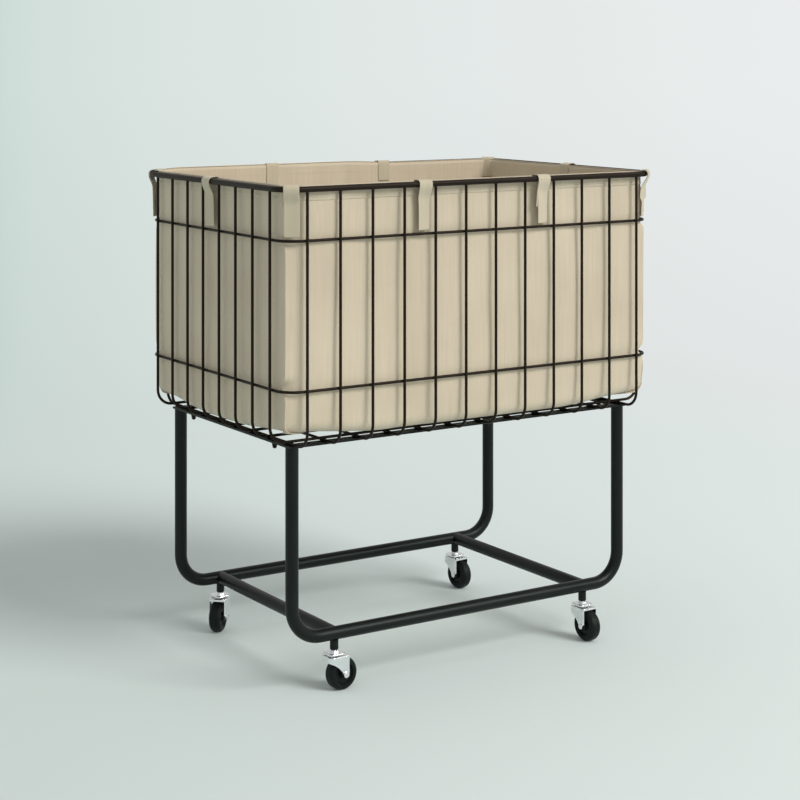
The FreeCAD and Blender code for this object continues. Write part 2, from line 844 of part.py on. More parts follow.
def long_side_straps(doc, d):
    body = new_body(doc, "long_side_straps")
    for place_along in (-1, 1):
        sketch = new_sketch(body, "YZ_Plane", out=d.strap_spacing / 2 * place_along)
        for side in (-1, 1):
            strap_outline(sketch, d, d.basket_width / 2 * side, d.strap_inside)
        extrude(body, "Pad", sketch, d.strap_width, symmetric=True)
    return body


def corner_straps(doc, d):
    """Straps set diagonally over the rim's rounded corners."""
    body = new_body(doc, "corner_straps")
    for side, end, turn in ((1, 1, 45), (-1, 1, 135), (-1, -1, 225), (1, -1, 315)):
        centre_x = (d.basket_length / 2 - d.rim_corner) * side
        centre_y = (d.basket_width / 2 - d.rim_corner) * end
        sketch = new_sketch(body, "XZ_Plane", across=centre_x, out=-centre_y, turn=turn)
        strap_outline(sketch, d, d.rim_corner, d.corner_strap_inside)
        extrude(body, "Pad", sketch, d.strap_width, symmetric=True)
    return body


# ---------------------------------------------------------------- build and export


def build(doc):
    d = Sheet(doc)
    pieces = [leg_tube(doc, d, "front_leg_tube", -1), leg_tube(doc, d, "rear_leg_tube", 1)]
    pieces.append(base_crossbar(doc, d, "left_base_crossbar", -1))
    pieces.append(base_crossbar(doc, d, "right_base_crossbar", 1))
    pieces += top_bars(doc, d)
    pieces.append(caster_sockets(doc, d))
    pieces += basket_hoops(doc, d)
    pieces += basket_wires(doc, d)
    pieces += [basket_studs(doc, d), acorn_nuts(doc, d)]
    pieces += casters(doc, d)
    pieces += [liner_bag(doc, d), liner_hem(doc, d)]
    pieces += [short_side_straps(doc, d), long_side_straps(doc, d), corner_straps(doc, d)]
    doc.recompute()
    return pieces


def check(doc, pieces):
    """Stops before anything is written if a feature failed or a piece isn't a valid solid."""
    for thing in doc.Objects:
        if "Invalid" in thing.State or "Error" in thing.State:
            raise RuntimeError(f"{thing.Label} ({thing.Name}) did not compute: {thing.State}")
    for piece in pieces:
        if piece.Shape.isNull() or not piece.Shape.isValid() or not piece.Shape.Solids:
            raise RuntimeError(f"{piece.Label} has no valid solid")


def main():
    doc = FreeCAD.newDocument("LaundryCart")
    pieces = build(doc)
    check(doc, pieces)
    os.makedirs("parts", exist_ok=True)
    for piece in pieces:
        piece.Shape.exportStep(os.path.join("parts", piece.Label + ".step"))
        print(f"{piece.Label}: {len(piece.Shape.Solids)} solids, {piece.Shape.Volume / 1000:.2f} cm3")


main()
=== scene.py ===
import math

import bpy
import numpy as np
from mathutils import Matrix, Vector, noise


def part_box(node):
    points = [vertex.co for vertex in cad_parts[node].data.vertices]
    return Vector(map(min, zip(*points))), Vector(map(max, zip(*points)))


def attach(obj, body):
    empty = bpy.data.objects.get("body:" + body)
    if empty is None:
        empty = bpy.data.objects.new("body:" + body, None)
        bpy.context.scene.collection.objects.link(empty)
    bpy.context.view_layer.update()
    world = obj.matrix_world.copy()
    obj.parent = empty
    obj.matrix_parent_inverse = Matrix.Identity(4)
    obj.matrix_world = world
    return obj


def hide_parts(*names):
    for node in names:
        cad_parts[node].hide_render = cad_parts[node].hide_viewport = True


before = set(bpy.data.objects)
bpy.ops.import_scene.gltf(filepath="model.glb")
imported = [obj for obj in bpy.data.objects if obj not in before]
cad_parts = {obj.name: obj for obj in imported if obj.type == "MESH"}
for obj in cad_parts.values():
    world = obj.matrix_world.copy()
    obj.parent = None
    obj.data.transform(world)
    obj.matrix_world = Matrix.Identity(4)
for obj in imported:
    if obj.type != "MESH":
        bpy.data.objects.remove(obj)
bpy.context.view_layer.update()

MM = 0.001


# ---------------------------------------------------------------- materials


# The tints of the reflections in the stand's, tyres' and hubs' black and in the basket's black; the
# basket's warm tint is a painted reflection of the canvas beside it.
COOL = (0.84, 1.0, 0.97)
CANVAS_REFLECTION_TINT = (0.85, 0.66, 0.52)
# The darkest and lightest shade of each black. The basket's blacks are warmed brown as a painted reflection
# of the canvas.
STAND_BLACKS = ((0.0036, 0.0047, 0.0046), (0.0065, 0.0080, 0.0078))
BASKET_BLACKS_WITH_CANVAS_REFLECTION = ((0.0065, 0.0046, 0.0034), (0.0095, 0.0070, 0.0054))
# The thick places of the yarn, and the painted shade in the gaps between the threads.
SLUB_BROWN = (0.30, 0.25, 0.17)
WEAVE_GAP_SHADE = (0.22, 0.18, 0.12)


class Nodes:
    """A short way to build a node tree. Noise scales are per metre, distances in metres."""

    def __init__(self, tree):
        self.tree = tree

    def add(self, kind, inputs=None, **settings):
        node = self.tree.nodes.new("ShaderNode" + kind)
        for name, value in settings.items():
            setattr(node, name, value)
        for name, value in (inputs or {}).items():
            self.put(node, name, value)
        return node

    def put(self, node, name, value):
        """Sets an input to a number or colour, or links it to another node's output."""
        socket = node.inputs[name]
        if isinstance(value, bpy.types.NodeSocket):
            self.tree.links.new(value, socket)
        elif isinstance(value, (tuple, list)) and len(value) == 3 and socket.type == "RGBA":
            socket.default_value = (*value, 1)
        else:
            socket.default_value = value

    def place(self, scale=1.0, output="Object"):
        """Coordinates in metres, times scale, which is one number or one for each axis."""
        coordinates = self.add("TexCoord").outputs[output]
        vector = scale if isinstance(scale, tuple) else (scale, scale, scale)
        mapping = self.add("Mapping", {"Vector": coordinates})
        mapping.inputs["Scale"].default_value = vector
        return mapping.outputs["Vector"]

    def noise(self, scale, detail=3.0, output="Object"):
        inputs = {"Vector": self.place(scale, output), "Scale": 1.0, "Detail": detail}
        return self.add("TexNoise", inputs).outputs["Fac"]

    def remap(self, value, low, high, from_low=0.3, from_high=0.7):
        limits = {"From Min": from_low, "From Max": from_high, "To Min": low, "To Max": high}
        return self.add("MapRange", {"Value": value, **limits}).outputs["Result"]

    def mix(self, factor, first, second):
        node = self.add("Mix", data_type="RGBA")
        self.put(node, "Factor", factor)
        for index, value in ((6, first), (7, second)):
            self.put(node, index, value)
        return node.outputs[2]

    def math(self, operation, first, second=0.0):
        node = self.add("Math", operation=operation)
        self.put(node, 0, first)
        self.put(node, 1, second)
        return node.outputs[0]

    def bump(self, height, strength, distance, below=None):
        inputs = {"Height": height, "Strength": strength, "Distance": distance}
        if below is not None:
            inputs["Normal"] = below
        return self.add("Bump", inputs).outputs["Normal"]


class Material(Nodes):
    """The node tree of one new material."""

    def __init__(self, name):
        self.material = bpy.data.materials.new(name)
        self.material.use_nodes = True
        super().__init__(self.material.node_tree)
        self.surface = self.tree.nodes["Principled BSDF"]

    def finish(self, **inputs):
        for name, value in inputs.items():
            self.put(self.surface, name.replace("_", " "), value)
        return self.material


def black_coating(name, dark, light, roughness, tint):
    """Satin black powder coat: faint orange peel and a slightly patchy sheen, with tinted reflections."""
    n = Material(name)
    peel = n.noise(scale=900, detail=2)
    patches = n.noise(scale=14, detail=4)
    colour = n.mix(n.remap(patches, 0, 1), dark, light)
    sheen = n.remap(patches, roughness - 0.05, roughness + 0.06)
    normal = n.bump(peel, strength=0.10, distance=0.2 * MM)
    return n.finish(Base_Color=colour, Roughness=sheen, Specular_IOR_Level=0.23, Specular_Tint=tint,
                    Normal=normal)


def zinc_plate():
    """Bright zinc plate with the faint grain of pressed sheet."""
    n = Material("bright_zinc")
    grain = n.noise(scale=900, detail=3)
    cloud = n.noise(scale=60, detail=4)
    colour = n.mix(n.remap(cloud, 0, 1), (0.84, 0.87, 0.89), (0.94, 0.96, 0.97))
    sheen = n.remap(cloud, 0.17, 0.28)
    normal = n.bump(grain, strength=0.03, distance=0.1 * MM)
    return n.finish(Base_Color=colour, Metallic=1.0, Roughness=sheen, Normal=normal)


def ball_steel():
    """Polished steel under a film of grease."""
    n = Material("ball_steel")
    grease = n.noise(scale=700, detail=2)
    colour = n.mix(n.remap(grease, 0, 1), (0.5, 0.48, 0.44), (0.72, 0.71, 0.69))
    return n.finish(Base_Color=colour, Metallic=1.0, Roughness=n.remap(grease, 0.12, 0.3))


def tyre_rubber():
    """Black rubber, a little dusty."""
    n = Material("tyre_rubber")
    dust = n.noise(scale=160, detail=5)
    skin = n.noise(scale=1400, detail=2)
    colour = n.mix(n.remap(dust, 0, 1, 0.45, 0.8), (0.0036, 0.0046, 0.0046), (0.0075, 0.0090, 0.0088))
    sheen = n.remap(dust, 0.42, 0.56)
    normal = n.bump(skin, strength=0.12, distance=0.3 * MM)
    return n.finish(Base_Color=colour, Roughness=sheen, Specular_IOR_Level=0.22, Specular_Tint=COOL,
                    Normal=normal)


def hub_plastic():
    """Moulded black plastic with a fine matt skin."""
    n = Material("hub_plastic")
    skin = n.noise(scale=1100, detail=2)
    cloud = n.noise(scale=90, detail=3)
    colour = n.mix(n.remap(cloud, 0, 1), (0.0040, 0.0050, 0.0050), (0.0070, 0.0084, 0.0083))
    sheen = n.remap(cloud, 0.40, 0.52)
    normal = n.bump(skin, strength=0.12, distance=0.2 * MM)
    return n.finish(Base_Color=colour, Roughness=sheen, Specular_IOR_Level=0.20, Specular_Tint=COOL,
                    Normal=normal)


def weave_pattern(n, thread):
    turns = math.pi / thread
    split = n.add("SeparateXYZ", {"Vector": n.place(1.0, "UV")})
    across = n.math("SINE", n.math("MULTIPLY", split.outputs["X"], turns))
    along = n.math("SINE", n.math("MULTIPLY", split.outputs["Y"], turns))
    checks = n.math("MULTIPLY", across, along)
    ridges = n.math("MAXIMUM", n.math("ABSOLUTE", across), n.math("ABSOLUTE", along))
    return n.math("ADD", n.math("MULTIPLY", checks, 0.5), ridges)


def slub_pattern(n):
    """Thick places in the yarn: long streaks, most of them along the warp."""
    warp = n.noise(scale=(420, 9, 1), output="UV")
    weft = n.noise(scale=(12, 520, 1), output="UV")
    return n.math("ADD", n.math("MULTIPLY", warp, 0.85), n.math("MULTIPLY", weft, 0.15))


def woven(name, light, dark, thread):
    """Plain weave with slubs, uneven shade and soft creases. UV is in metres along the cloth."""
    n = Material(name)
    weave = weave_pattern(n, thread)
    slubs = slub_pattern(n)
    shade = n.noise(scale=7, detail=4)
    creases = n.noise(scale=(26, 5, 1), detail=4, output="UV")
    colour = n.mix(n.remap(shade, 0, 1, 0.35, 0.65), dark, light)
    colour = n.mix(n.remap(slubs, 0.12, 0.0, 0.38, 0.6), colour, SLUB_BROWN)
    # Painted shade: the low places of the weave, between the threads, are darkened.
    colour = n.mix(n.remap(weave, 0.03, 0.0, 0.2, 1.4), colour, WEAVE_GAP_SHADE)
    soft = n.bump(creases, strength=0.10, distance=4 * MM)
    relief = n.math("ADD", weave, n.math("MULTIPLY", slubs, 2.0))
    normal = n.bump(relief, strength=0.16, distance=0.22 * MM, below=soft)
    return n.finish(Base_Color=colour, Roughness=0.9, Specular_IOR_Level=0.2, Sheen_Weight=0.25,
                    Sheen_Roughness=0.5, Normal=normal)


def sewing_thread():
    """Twisted cotton thread, a shade lighter than the canvas, with painted shade in the grooves of its
    twist.
    """
    n = Material("sewing_thread")
    turns = 9000
    split = n.add("SeparateXYZ", {"Vector": n.place(1.0, "UV")})
    slant = n.math("ADD", split.outputs["X"], split.outputs["Y"])
    twist = n.math("SINE", n.math("MULTIPLY", slant, turns))
    # Painted shade: the colour darkens where the twist's bump is low and lightens on its ridges.
    colour = n.mix(n.remap(twist, 0, 1, -1, 1), (0.50, 0.44, 0.32), (0.68, 0.62, 0.48))
    normal = n.bump(twist, strength=0.3, distance=0.1 * MM)
    return n.finish(Base_Color=colour, Roughness=0.8, Specular_IOR_Level=0.2, Normal=normal)


def paint(nodes, material):
    for name in nodes:
        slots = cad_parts[name].data.materials
        slots.clear()
        slots.append(material)


def paint_cad(canvas, webbing):
    """Gives every CAD piece its material."""
    names = list(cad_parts)
    stand = [n for n in names if n.endswith(("leg_tube", "crossbar", "top_bar")) or n == "caster_sockets"]
    basket = [n for n in names if n.endswith(("rim", "ring", "wires", "studs")) or n == "acorn_nuts"]
    stand_black = black_coating("stand_black", *STAND_BLACKS, roughness=0.38, tint=COOL)
    # The basket's warm brown black and warm reflection tint are painted reflection of the canvas.
    basket_black = black_coating("basket_black", *BASKET_BLACKS_WITH_CANVAS_REFLECTION, roughness=0.42, tint=CANVAS_REFLECTION_TINT)
    paint(stand, stand_black)
    paint(basket, basket_black)
    paint([n for n in names if n.startswith(("caster_stem", "race_cap", "fork", "axle"))], zinc_plate())
    paint([n for n in names if n.startswith("race_balls")], ball_steel())
    paint([n for n in names if n.startswith("tyre")], tyre_rubber())
    paint([n for n in names if n.startswith("wheel_hub")], hub_plastic())
    paint(("liner_bag", "liner_hem"), canvas)
    paint(("corner_straps", "long_side_straps", "short_side_straps"), webbing)


# ---------------------------------------------------------------- cloth shapes


BAG_LOW, BAG_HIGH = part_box("liner_bag")
BAG_BOTTOM, BAG_TOP = BAG_LOW.z, BAG_HIGH.z
HALF = np.array([BAG_HIGH.x, BAG_HIGH.y])
RIM_LOW, RIM_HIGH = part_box("basket_rim")
RIM_RADIUS = (RIM_HIGH.z - RIM_LOW.z) / 2
RIM_Z = (RIM_HIGH.z + RIM_LOW.z) / 2
RIM_HALF = np.array([RIM_HIGH.x, RIM_HIGH.y]) - RIM_RADIUS
RING_LEVELS = [(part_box(ring)[0].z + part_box(ring)[1].z) / 2 for ring in ("upper_ring", "lower_ring")]

CLOTH = 1.1 * MM
# The corners as signs of x and y, anticlockwise from the front right.
CORNERS = ((1, -1), (1, 1), (-1, 1), (-1, -1))
CORNER_ROUND = 26 * MM
# How far each slack corner of the bag is cut off along the long wall and along the short wall.
CORNER_FACET = {
    (1, -1): (4 * MM, 4 * MM),
    (1, 1): (8 * MM, 8 * MM),
    (-1, 1): (6 * MM, 8 * MM),
    (-1, -1): (28 * MM, 7 * MM),
}
# The bend between wall and floor, and how far it curls up at the bottom corners.
BEND = 18 * MM
BOTTOM_CURL = 11 * MM
HEM_DEPTH = 20 * MM
HEM_OUT = 1.0 * MM
HEM_PLY = 0.6 * MM
FOLD_COUNT = 28
# How far the cloth may stand in from its outline and out of it, where the wires are.
MOST_IN = 7.0 * MM
MOST_OUT = 1.8 * MM
# How far above and below a ring its grip reaches.
RING_REACH = 8 * MM

# Points round the bag. Its plan is drawn finer than that before it is smoothed.
PER_CORNER = 140
COLUMNS = 4 * PER_CORNER
FINER = 8
WALL_ROWS = 64
BEND_ROWS = 8
FLOOR_ROWS = 26
# The rows that the hem covers, and its own rows below the fold.
HEM_ROWS = 4
HEM_STEPS = 6
CORNER_POINTS = 13
# Where the weave of each part starts, so that none lines up with the wall's.
BEND_WEAVE = -10 * MM
FLOOR_WEAVE = 700 * MM
HEM_WEAVE = 300 * MM

STITCH_LENGTH = 2.6 * MM
STITCH_GAP = 1.2 * MM
THREAD_RADIUS = 0.32 * MM
THREAD_SIDES = 5
THREAD_RINGS = (0.0, 0.25, 0.75, 1.0)


def mesh_object(name, points, faces, uvs, material):
    """A smooth-shaded piece that rides on the liner. uvs places each point on the cloth, in metres."""
    mesh = bpy.data.meshes.new(name)
    mesh.from_pydata([tuple(p) for p in points], [], faces)
    layer = mesh.uv_layers.new(name="cloth")
    for loop in mesh.loops:
        layer.data[loop.index].uv = uvs[loop.vertex_index]
    for polygon in mesh.polygons:
        polygon.use_smooth = True
    mesh.materials.append(material)
    piece = bpy.data.objects.new(name, mesh)
    bpy.context.scene.collection.objects.link(piece)
    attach(piece, "liner")
    return piece


def thicken(piece, thickness):
    """Gives a surface its thickness, on the side that its faces turn away from."""
    solid = piece.modifiers.new("Thickness", "SOLIDIFY")
    solid.thickness = thickness
    solid.offset = -1


def grid_faces(rows, columns, closed):
    """Quads over a grid of points stored row by row; closed joins the last column to the first."""
    faces = []
    for r in range(rows - 1):
        for c in range(columns if closed else columns - 1):
            d = (c + 1) % columns
            faces.append((r * columns + c, r * columns + d, (r + 1) * columns + d, (r + 1) * columns + c))
    return faces


def smooth_step(value, low, high):
    """0 up to low, 1 from high on, and an even rise between them."""
    t = np.clip((value - low) / (high - low), 0, 1)
    return t * t * (3 - 2 * t)


def lengths_along(path):
    return np.concatenate([[0], np.cumsum(np.linalg.norm(np.diff(path, axis=0), axis=1))])


def outward(plan):
    """The direction out of a closed plan at each of its points."""
    tangent = np.roll(plan, -1, axis=0) - np.roll(plan, 1, axis=0)
    tangent /= np.linalg.norm(tangent, axis=1)[:, None]
    return np.stack([tangent[:, 1], -tangent[:, 0]], axis=1)


def corner_path(sx, sy, slack):
    """A quarter of the bag's plan, from the middle of one wall round a corner to the next middle."""
    if slack:
        cut_x, cut_y = CORNER_FACET[(sx, sy)]
        bend = [(sx * (HALF[0] - cut_x), sy * HALF[1]), (sx * HALF[0], sy * (HALF[1] - cut_y))]
    else:
        bend = []
        for turn in np.linspace(math.pi / 2, 0, CORNER_POINTS):
            x, y = HALF - CORNER_ROUND * (1 - np.array([math.cos(turn), math.sin(turn)]))
            bend.append((sx * x, sy * y))
    path = [(0.0, sy * HALF[1])] + bend + [(sx * HALF[0], 0.0)]
    return np.array(path if sx * sy < 0 else path[::-1])


def crowded(length, middle, count):
    """count places from 0 to length, four times closer together near middle than far from it."""
    even = np.linspace(0, length, 4000)
    crowd = np.cumsum(1 + 3 * np.exp(-((even - middle) / (30 * MM)) ** 2))
    crowd = (crowd - crowd[0]) / (crowd[-1] - crowd[0])
    return np.interp(np.arange(count) / count, crowd, even)


def smoothed(points, width):
    """A closed line of points, each averaged with width neighbours on either side."""
    kernel = np.hanning(2 * width + 3)[1:-1]
    kernel /= kernel.sum()
    padded = np.concatenate([points[-width:], points, points[:width]])
    return np.stack([np.convolve(padded[:, k], kernel, "valid") for k in (0, 1)], axis=1)


def outline(slack):
    """The bag's plan as points, crowded at the corners, anticlockwise from the middle of the front."""
    quarters = []
    for sx, sy in CORNERS:
        path = corner_path(sx, sy, slack)
        reach = lengths_along(path)
        places = crowded(reach[-1], reach[len(reach) // 2], FINER * PER_CORNER)
        quarters.append(np.stack([np.interp(places, reach, path[:, k]) for k in (0, 1)], axis=1))
    return smoothed(np.concatenate(quarters), FINER - 1)[::FINER]


def ring_grip(z):
    """How much a ring holds the cloth in at a height, from 0 to 1."""
    return max(math.exp(-((z - ring) / RING_REACH) ** 2) for ring in RING_LEVELS)


def slackness(z):
    """How far the corners belly out at a height: not at the rim, little where a ring holds them in."""
    below_rim = smooth_step(RIM_Z - z, 10 * MM, 45 * MM)
    near_floor = smooth_step(60 * MM - (z - BAG_BOTTOM), 0, 60 * MM)
    return below_rim * (1 - 0.3 * near_floor) * (1 - 0.9 * ring_grip(z))


def folds(count):
    """Vertical folds: where each runs along the outline, and the levels that it fades between."""
    random = np.random.default_rng(7)
    made = []
    for k in range(count):
        made.append({
            "at": (k + random.uniform(-0.35, 0.35)) / count,
            "width": random.uniform(12 * MM, 36 * MM),
            "depth": random.uniform(1.0 * MM, 3.0 * MM) * random.choice([-1, 1], p=[0.65, 0.35]),
            "lean": random.uniform(-0.015, 0.015),
            "low": random.uniform(-0.1, 0.45),
            "high": random.uniform(0.6, 1.25),
        })
    return made


def fold_strength(fold, level):
    """How strong a fold is at a level, from 0 to 1."""
    rise = smooth_step(level, fold["low"] - 0.15, fold["low"] + 0.15)
    fall = smooth_step(level, fold["high"] - 0.2, fold["high"] + 0.2)
    return rise * (1 - fall)


def waves(angle, level, across, upwards, start):
    """Noise that joins up round the bag. across and upwards say how fast it changes."""
    x, y = math.cos(angle) * across, math.sin(angle) * across
    return noise.noise(Vector((x, y, level * upwards + start)))


def drape(along, perimeter, level, fold_list):
    """How far the cloth stands in or out of its outline at one level: 0 at the bottom, 1 at the hem."""
    total = np.zeros(len(along))
    for fold in fold_list:
        centre = (fold["at"] + fold["lean"] * (level - 0.5)) * perimeter
        gap = (along - centre + perimeter / 2) % perimeter - perimeter / 2
        total += fold["depth"] * fold_strength(fold, level) * np.exp(-(gap / fold["width"]) ** 2)
    for k, place in enumerate(along):
        angle = 2 * math.pi * place / perimeter
        broad = waves(angle, level, across=2.2, upwards=1.4, start=0)
        fine = waves(angle, level, across=11, upwards=2.0, start=9)
        total[k] += 2.0 * MM * broad + 0.9 * MM * fine
    return np.clip(total - 0.8 * MM, -MOST_IN, MOST_OUT)


def hem_height(points):
    """The mouth's edge: pulled up a little along the back left, and sagging elsewhere."""
    x = points[:, 0] / HALF[0]
    y = points[:, 1] / HALF[1]
    back_left = smooth_step(y, 0.3, 0.95) * smooth_step(x, -1.0, -0.85) * (1 - smooth_step(x, -0.15, 0.5))
    sags = (
        4.0 * MM * smooth_step(x, 0.75, 0.99),
        3.5 * MM * smooth_step(y, 0.6, 1.0) * smooth_step(x, 0.1, 0.4),
        2.8 * MM * (1 - smooth_step(y, -0.98, -0.5)),
        1.8 * MM * (1 - smooth_step(x, -0.99, -0.9)),
    )
    return BAG_TOP - 0.6 * MM + 1.0 * MM * back_left - np.maximum.reduce(sags)


def bottom_height(plan):
    """The bag's bottom edge, which lies flat on the wires but curls up towards the corners."""
    from_corner = np.abs(HALF - np.abs(plan)).sum(axis=1)
    return BAG_BOTTOM + BOTTOM_CURL * (1 - smooth_step(from_corner, 20 * MM, 180 * MM))


def bag_wall(held, bottom):
    """Rows of points from the bag's mouth down to the bend, with their places on the cloth."""
    slack = outline(True)
    steps = np.linalg.norm(np.roll(held, -1, axis=0) - held, axis=1)
    along = np.concatenate([[0], np.cumsum(steps)[:-1]])
    fold_list = folds(FOLD_COUNT)
    top = hem_height(held)
    rows, uvs = [], []
    for row in range(WALL_ROWS):
        t = row / (WALL_ROWS - 1)
        z = top * (1 - t) + (bottom + BEND) * t
        free = slackness(z.mean())
        plan = held * (1 - free) + slack * free
        out = drape(along, steps.sum(), 1 - t, fold_list)
        out -= 2.0 * MM * smooth_step(t, 0.85, 1.0)
        out -= 1.2 * MM * ring_grip(z.mean())
        rows.append(np.column_stack([plan + outward(plan) * out[:, None], z]))
        uvs.append(np.column_stack([along, z]))
    return rows, uvs


def bag_bend(wall, along, bottom):
    """Rows of points round the bend between the wall and the floor."""
    normal = outward(wall)
    rows, uvs = [], []
    for turn in np.linspace(0, math.pi / 2, BEND_ROWS)[1:]:
        inward = BEND * (1 - math.cos(turn))
        z = bottom + BEND * (1 - math.sin(turn))
        rows.append(np.column_stack([wall - normal * inward, z]))
        uvs.append(np.column_stack([along, z + BEND_WEAVE]))
    return rows, uvs


def bag_floor(rim, bottom):
    """Rows of points over the floor, which sags a little within its edge and ripples."""
    rows, uvs = [], []
    for share in np.linspace(1, 0, FLOOR_ROWS)[1:-1]:
        flat = rim * share
        ripple = np.array([abs(2.4 * MM * noise.noise(Vector((x * 9, y * 9, 3)))) for x, y in flat])
        sag = 1.2 * MM * smooth_step(1 - share, 0, 0.3)
        z = BAG_BOTTOM + (bottom - BAG_BOTTOM) * share ** 4 - sag
        rows.append(np.column_stack([flat, z + ripple * smooth_step(1 - share, 0, 0.08)]))
        uvs.append(flat + FLOOR_WEAVE)
    return rows, uvs


def close_floor(rows, uvs, faces):
    """Fills the last ring of the floor round its middle."""
    count = len(rows[0])
    start = (len(rows) - 1) * count
    middle = len(rows) * count
    for c in range(count):
        faces.append((start + c, start + (c + 1) % count, middle))
    points = np.vstack(rows + [np.array([[0, 0, rows[-1][:, 2].mean()]])])
    return points, np.vstack(uvs + [np.array([[FLOOR_WEAVE, FLOOR_WEAVE]])])


def make_bag(canvas):
    """The bag. Returns its rows of points, which the hem, stitching and straps follow."""
    held = outline(False)
    bottom = bottom_height(held)
    wall, wall_uvs = bag_wall(held, bottom)
    bend, bend_uvs = bag_bend(wall[-1][:, :2], wall_uvs[0][:, 0], bottom)
    floor, floor_uvs = bag_floor(bend[-1][:, :2], bottom)
    rows = wall + bend + floor
    faces = grid_faces(len(rows), COLUMNS, closed=True)
    points, cloth = close_floor(rows, wall_uvs + bend_uvs + floor_uvs, faces)
    bag = mesh_object("canvas_bag", points, [f[::-1] for f in faces], cloth, canvas)
    thicken(bag, CLOTH)
    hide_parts("liner_bag")
    return rows


def hem_points(rows, out, up):
    """A closed line of points that follows the bag's wall, out from it and up from its mouth."""
    top = rows[0]
    below = rows[HEM_ROWS]
    share = np.clip(-up / (top[:, 2] - below[:, 2]), 0, 1)[:, None]
    plan = top[:, :2] * (1 - share) + below[:, :2] * share
    return np.column_stack([plan + outward(plan) * out, top[:, 2] + up])


def make_hem(rows, canvas):
    """The hem: a second layer of cloth folded over the mouth, proud of the wall, with a soft lower edge."""
    fold = [(-0.6 * MM, 1.2 * MM), (0.2 * MM, 1.8 * MM), (0.8 * MM, 1.2 * MM), (HEM_OUT, 0.4 * MM)]
    face = [(HEM_OUT, -HEM_DEPTH * k / HEM_STEPS) for k in range(1, HEM_STEPS)]
    lower_edge = [(0.8 * MM, -HEM_DEPTH), (0.1 * MM, -HEM_DEPTH - 1.2 * MM)]
    points = [hem_points(rows, out, up) for out, up in fold + face + lower_edge]
    along = lengths_along(points[0])
    uvs = [np.column_stack([along, p[:, 2] + HEM_WEAVE]) for p in points]
    faces = grid_faces(len(points), COLUMNS, closed=True)
    hem = mesh_object("canvas_hem", np.vstack(points), [f[::-1] for f in faces], np.vstack(uvs), canvas)
    thicken(hem, HEM_PLY)
    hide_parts("liner_hem")


def stitch_rings(start, reach, path, facing):
    """Rings of points along one stitch, which bulges out in the middle, and their places on the thread."""
    points, uvs = [], []
    for share in THREAD_RINGS:
        spot = start + share * STITCH_LENGTH
        middle = np.array([np.interp(spot, reach, path[:, i]) for i in range(3)])
        out = np.array([np.interp(spot, reach, facing[:, i]) for i in range(2)] + [0.0])
        middle = middle + out * (THREAD_RADIUS * 0.6 * math.sin(math.pi * share))
        size = THREAD_RADIUS * (0.45 if share in (0.0, 1.0) else 1.0)
        for side in range(THREAD_SIDES):
            turn = 2 * math.pi * side / THREAD_SIDES
            points.append(middle + out * size * math.cos(turn) + np.array([0, 0, size * math.sin(turn)]))
            uvs.append((spot, turn * THREAD_RADIUS))
    return points, uvs


def make_stitches(name, line, normals, thread):
    """A row of short stitches sunk into the cloth along a closed line of points."""
    path = np.vstack([line, line[:1]])
    reach = lengths_along(path)
    facing = np.vstack([normals, normals[:1]])
    count = int(reach[-1] / (STITCH_LENGTH + STITCH_GAP))
    sides = grid_faces(len(THREAD_RINGS), THREAD_SIDES, closed=True)
    last_ring = (len(THREAD_RINGS) - 1) * THREAD_SIDES
    ends = [tuple(range(THREAD_SIDES)), tuple(range(last_ring, last_ring + THREAD_SIDES))[::-1]]
    points, faces, uvs = [], [], []
    for k in range(count):
        faces += [tuple(len(points) + i for i in face) for face in sides + ends]
        stitch, places = stitch_rings(k * reach[-1] / count, reach, path, facing)
        points += stitch
        uvs += places
    stitches = mesh_object(name, points, faces, uvs, thread)


def make_hem_stitching(rows, thread):
    """Two rows of stitches round the outside of the hem, and the lower row's back inside the bag."""
    lower = 3.5 * MM - HEM_DEPTH
    upper = -4.5 * MM
    for name, up in (("hem_stitching_lower", lower), ("hem_stitching_upper", upper)):
        line = hem_points(rows, HEM_OUT, up)
        make_stitches(name, line, outward(line[:, :2]), thread)
    line = hem_points(rows, -CLOTH, lower)
    make_stitches("hem_stitching_inside", line[::-1], -outward(line[:, :2])[::-1], thread)


# ---------------------------------------------------------------- straps


PLY = 0.8 * MM
# How far the edges of a hanging strap curl.
STRAP_CUP = 0.4 * MM
STRAP_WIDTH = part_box("short_side_straps")[1].y * 2
STRAP_TAIL = RIM_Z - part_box("short_side_straps")[0].z
STRAP_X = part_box("long_side_straps")[1].x - STRAP_WIDTH / 2
# How far the sewn end reaches below the rim's centre, inside the bag.
STRAP_FOOT = 30 * MM
STRAP_COLUMNS = 9
BEND_POINTS = 9
TAIL_POINTS = 17
# How many points of the bag's mouth lie under one strap.
UNDER_STRAP = 9
# The under ply ends this far below the rim's centre, and is this share of the strap's width.
PLY_LENGTH = 47 * MM
PLY_SHARE = 0.96
# How far the long layer is over the top of the hem and off the rim, and how much less the under ply is.
OVER_HEM = 2.9 * MM
OVER_RIM = 1.7 * MM
PLY_STEP = 0.9 * MM

# The radius of the rim's corners, and which way each faces, in degrees.
RIM_CORNER = 36 * MM
CORNER_ANGLE = {"front_left": 225, "front_right": 315, "rear_left": 135, "rear_right": 45}
SIDE_SIGNS = {"front_left": (-1, -1), "front_right": (1, -1), "rear_left": (-1, 1), "rear_right": (1, 1)}

